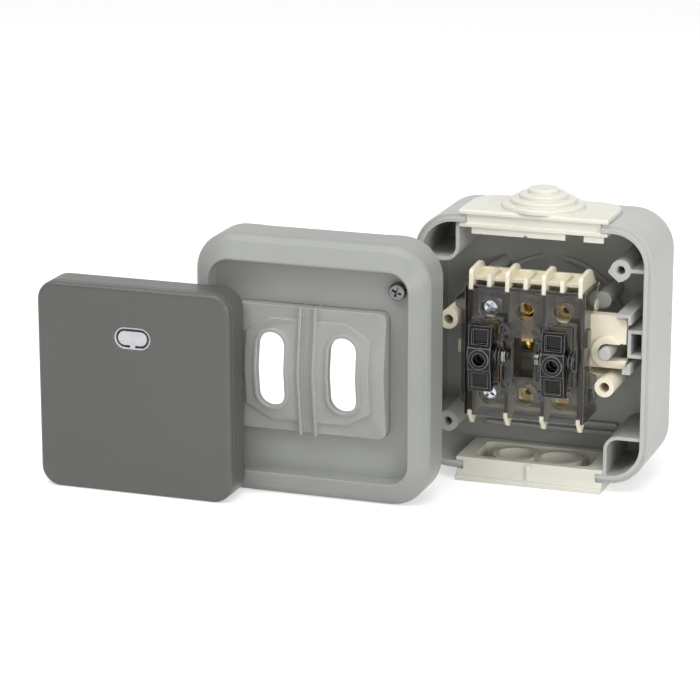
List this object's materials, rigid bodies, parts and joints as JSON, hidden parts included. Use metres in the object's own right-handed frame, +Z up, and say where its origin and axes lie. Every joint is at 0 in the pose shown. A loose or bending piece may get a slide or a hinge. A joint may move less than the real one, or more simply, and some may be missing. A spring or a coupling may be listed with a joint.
{
  "type": "pushbutton switch",
  "caption": "Surface-mounted pushbutton switch shown taken apart: box with rocker mechanism, cover frame with sealing membrane, and button plate with window.",
  "frame": {"origin": "centre of the footprint, on the surface that the box's lower cable entry, the cover frame and the button plate stand on", "axes": "+X to the right along the row of the three groups, +Y from the fronts towards the wall side, +Z up"},
  "size_m": [0.1734, 0.0748, 0.0884],
  "materials": {
    "box_plastic": "fine satin moulding",
    "entry_plastic": "smooth ivory moulding",
    "base_plastic": "smooth cream moulding",
    "smoked_plastic": "polished smoked see-through moulding",
    "spring_steel": "bright drawn wire",
    "zinc_steel": "zinc plated",
    "brass_strip": "bright rolled strip",
    "silver_contact": "bright silver rivet",
    "plunger_plastic": "smooth moulding",
    "frame_plastic": "fine satin moulding",
    "membrane_rubber": "soft matt moulding",
    "screw_steel": "dark bright plating",
    "plate_plastic": "fine satin moulding",
    "lens_plastic": "frosted see-through moulding"
  },
  "bodies": {
    "switch": {"box_shell": "box_plastic", "top_cable_entry": "entry_plastic", "bottom_cable_entry": "entry_plastic", "mechanism_base": "base_plastic", "terminal_cover": "smoked_plastic", "return_spring_left": "spring_steel", "return_spring_right": "spring_steel", "terminal_screws": "zinc_steel", "terminal_clamps": "zinc_steel", "feed_strip": "brass_strip", "switched_strip": "brass_strip", "lamp_contact": "brass_strip", "fixed_contact": "silver_contact", "cover_frame": "frame_plastic", "sealing_membrane": "membrane_rubber", "cover_screws": "screw_steel", "button_plate": "plate_plastic", "window_lens": "lens_plastic"},
    "rocker_left": {"rocker_left": "smoked_plastic", "plunger": "plunger_plastic", "plunger_spring": "spring_steel"},
    "rocker_right": {"rocker_right": "smoked_plastic"},
    "contact_link": {"contact_link": "brass_strip", "moving_contact": "silver_contact"}
  },
  "joints": [
    {"name": "rocker_left_tilt", "type": "hinge", "parent": "switch", "child": "rocker_left", "pos_m": [0.0397, -0.0009, 0.0422], "axis": [1, 0, 0], "range_deg": [0, 5], "stiffness_Nm_per_rad": 0.02, "springref_deg": -11.46},
    {"name": "rocker_right_tilt", "type": "hinge", "parent": "switch", "child": "rocker_right", "pos_m": [0.0617, -0.0009, 0.0422], "axis": [1, 0, 0], "range_deg": [0, 5], "stiffness_Nm_per_rad": 0.02, "springref_deg": -11.46},
    {"name": "contact_link_tilt", "type": "hinge", "parent": "switch", "child": "contact_link", "pos_m": [0.0397, 0.0129, 0.04277], "axis": [1, 0, 0], "range_deg": [-6, 0]}
  ],
  "couplings": [
    {"joint": "contact_link_tilt", "follows": "rocker_left_tilt", "ratio": -1.2}
  ]
}
